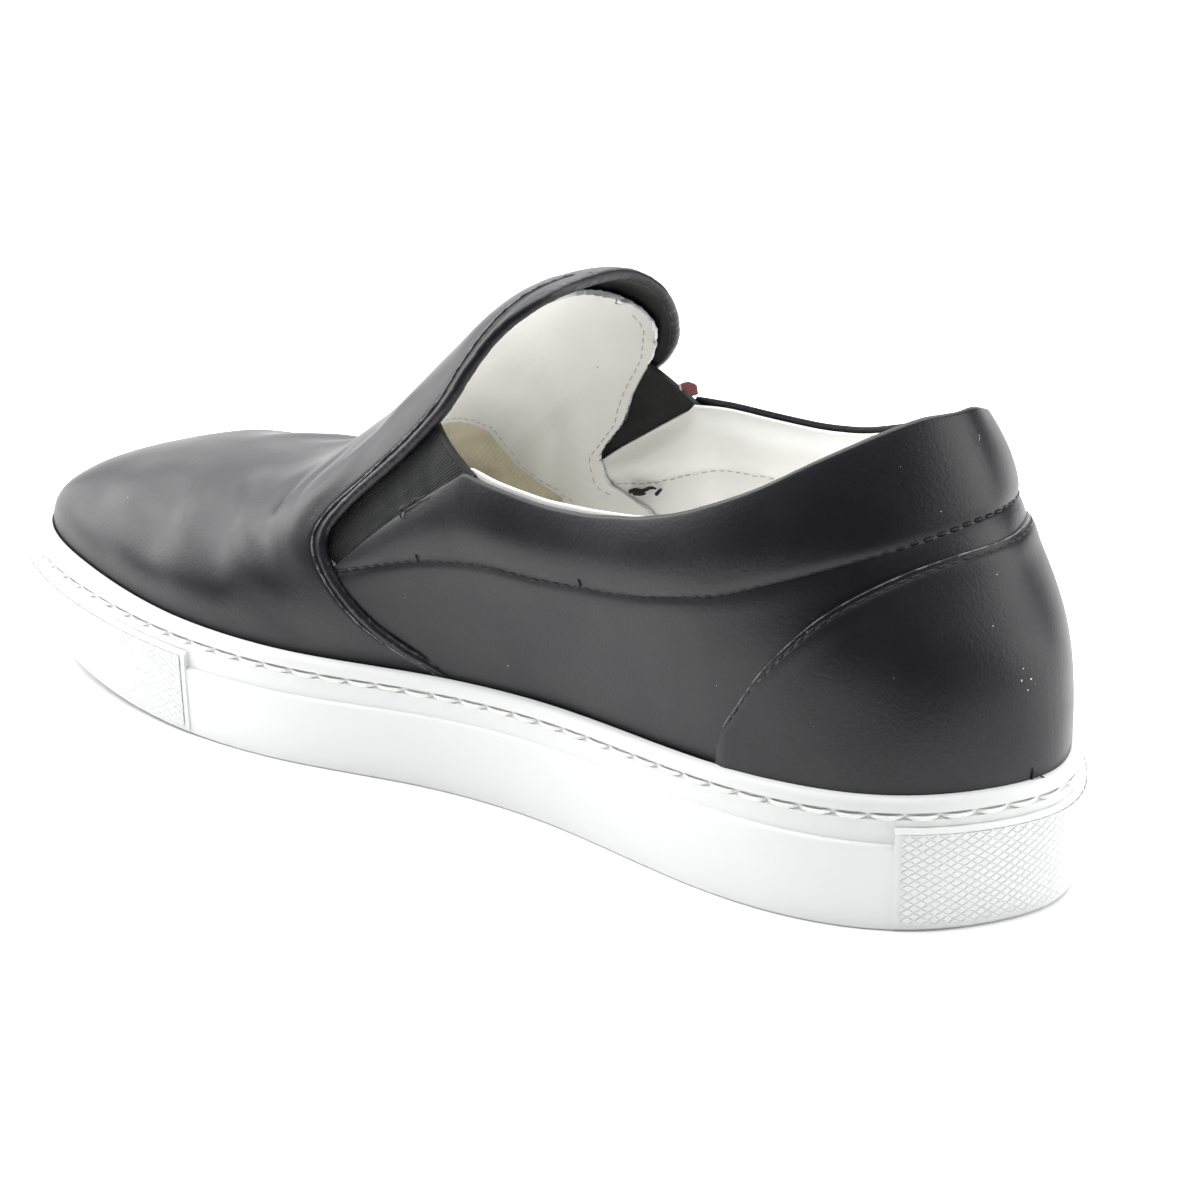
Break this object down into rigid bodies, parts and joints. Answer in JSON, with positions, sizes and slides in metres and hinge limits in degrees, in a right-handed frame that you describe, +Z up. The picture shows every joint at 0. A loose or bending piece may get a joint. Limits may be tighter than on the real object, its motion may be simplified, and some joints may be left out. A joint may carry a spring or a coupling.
{
  "type": "slip-on sneaker",
  "caption": "Right-foot slip-on sneaker: smooth leather upper with a raised tongue and elastic side gussets on a thick moulded cup sole.",
  "frame": {"origin": "on the floor, at the middle of the shoe's box seen from above", "axes": "+X to the toe, +Y to the inner side of the foot, +Z up"},
  "size_m": [0.296, 0.1016, 0.1134],
  "materials": {
    "white_rubber": "moulded white rubber, satin",
    "black_leather": "smooth black leather with a soft sheen and fine grain",
    "black_elastic": "ribbed black elastic webbing, matte",
    "insole_leather": "off-white lining leather",
    "red_tape": "plain red woven tape"
  },
  "bodies": {
    "root": {"sole": "white_rubber", "upper": "black_leather", "gusset_inner": "black_elastic", "gusset_outer": "black_elastic", "heel_counter": "black_leather", "insole": "insole_leather", "label_tab": "red_tape"}
  },
  "joints": []
}
